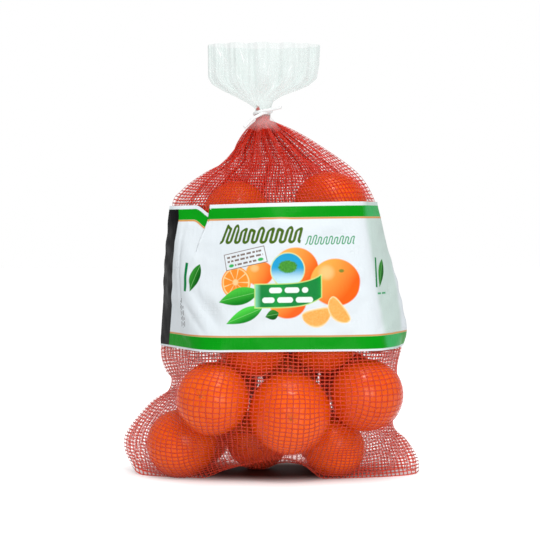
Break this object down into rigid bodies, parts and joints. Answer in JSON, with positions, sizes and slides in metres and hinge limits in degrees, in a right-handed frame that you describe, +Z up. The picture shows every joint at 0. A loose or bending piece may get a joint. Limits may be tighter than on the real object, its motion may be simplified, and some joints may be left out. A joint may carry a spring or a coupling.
{
  "type": "net bag of citrus fruit",
  "caption": "Upright net bag of mandarins with a wide printed film band, a twist tie at its gathered neck and a flared clear film top.",
  "frame": {"origin": "on the floor under the middle of the pack's bounding box", "axes": "+Z up from the base to the flared film top; the printed front looks along -Y; +X is the right of someone who faces the front"},
  "size_m": [0.2504, 0.143, 0.361],
  "materials": {
    "net_and_fruit": "glossy red plastic mesh drawn tight over orange fruit peel",
    "band_film": "glossy white printed film with green edge stripes",
    "tie": "white plastic covered wire",
    "clear_film": "thin clear plastic film gathered in pleats"
  },
  "bodies": {
    "root": {"net_of_fruit": "net_and_fruit", "printed_band": "band_film", "neck_tie": "tie", "film_top": "clear_film"}
  },
  "joints": []
}
